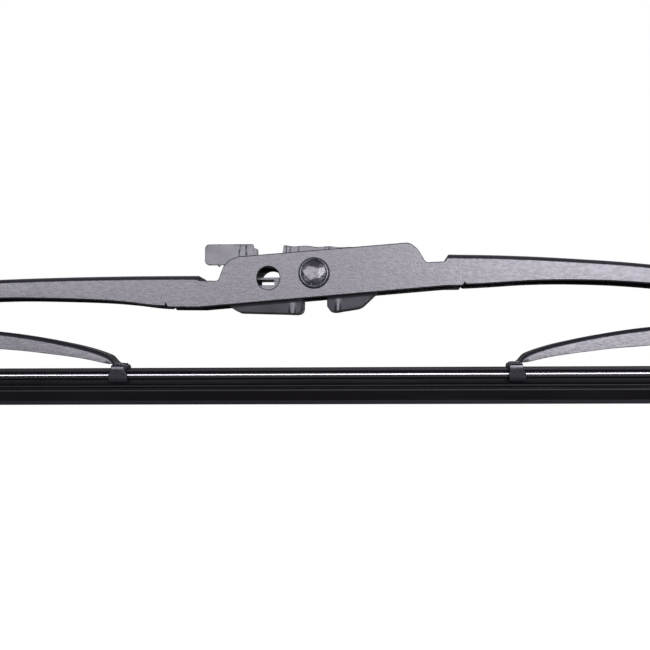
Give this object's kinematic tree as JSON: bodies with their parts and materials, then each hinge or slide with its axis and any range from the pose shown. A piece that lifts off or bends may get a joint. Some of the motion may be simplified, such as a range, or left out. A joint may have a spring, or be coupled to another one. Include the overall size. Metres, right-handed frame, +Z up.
{
  "type": "wiper blade",
  "caption": "Bridged wiper blade: sheet steel lever on a hook adapter, rocking side levers and yokes, and claws that hold a long rubber strip with steel rails.",
  "frame": {"origin": "middle of the wiping lip's lower edge, straight below the centre rivet", "axes": "+X along the blade, to the right in the picture; -Y towards the camera, across the blade; +Z up, from the lip to the wiper arm"},
  "size_m": [0.55, 0.017, 0.0444],
  "materials": {
    "lever_paint": "satin",
    "rivet_steel": "gloss",
    "adapter_plastic": "satin",
    "liner_plastic": "matt",
    "strip_rubber": "matt",
    "rail_steel": "bright rolled"
  },
  "bodies": {
    "adapter": {"hook_adapter": "adapter_plastic"},
    "primary": {"primary_lever": "lever_paint", "centre_rivet": "rivet_steel", "rivet_sleeve": "liner_plastic", "left_lever_rivet": "rivet_steel", "right_lever_rivet": "rivet_steel", "rubber_strip": "strip_rubber", "front_rail": "rail_steel", "rear_rail": "rail_steel"},
    "left_lever": {"left_lever": "lever_paint", "left_lever_liner": "liner_plastic", "left_yoke_rivet": "rivet_steel"},
    "right_lever": {"right_lever": "lever_paint", "right_lever_liner": "liner_plastic", "right_yoke_rivet": "rivet_steel"},
    "left_yoke": {"left_yoke": "lever_paint", "left_yoke_liner": "liner_plastic"},
    "right_yoke": {"right_yoke": "lever_paint", "right_yoke_liner": "liner_plastic"}
  },
  "joints": [
    {"name": "blade_swivel", "type": "hinge", "parent": "adapter", "child": "primary", "pos_m": [0, 0, 0.036], "axis": [0, 1, 0], "range_deg": [-20, 20]},
    {"name": "left_lever_pivot", "type": "hinge", "parent": "primary", "child": "left_lever", "pos_m": [-0.15, 0, 0.0196], "axis": [0, 1, 0], "range_deg": [-5, 5], "stiffness_Nm_per_rad": 1, "deforming": ["rubber_strip", "front_rail", "rear_rail"]},
    {"name": "right_lever_pivot", "type": "hinge", "parent": "primary", "child": "right_lever", "pos_m": [0.15, 0, 0.0196], "axis": [0, 1, 0], "range_deg": [-5, 5], "stiffness_Nm_per_rad": 1, "deforming": ["rubber_strip", "front_rail", "rear_rail"]},
    {"name": "left_yoke_pivot", "type": "hinge", "parent": "left_lever", "child": "left_yoke", "pos_m": [-0.2, 0, 0.0139], "axis": [0, 1, 0], "range_deg": [-5, 5], "stiffness_Nm_per_rad": 0.5, "deforming": ["rubber_strip", "front_rail", "rear_rail"]},
    {"name": "right_yoke_pivot", "type": "hinge", "parent": "right_lever", "child": "right_yoke", "pos_m": [0.2, 0, 0.0139], "axis": [0, 1, 0], "range_deg": [-5, 5], "stiffness_Nm_per_rad": 0.5, "deforming": ["rubber_strip", "front_rail", "rear_rail"]}
  ]
}
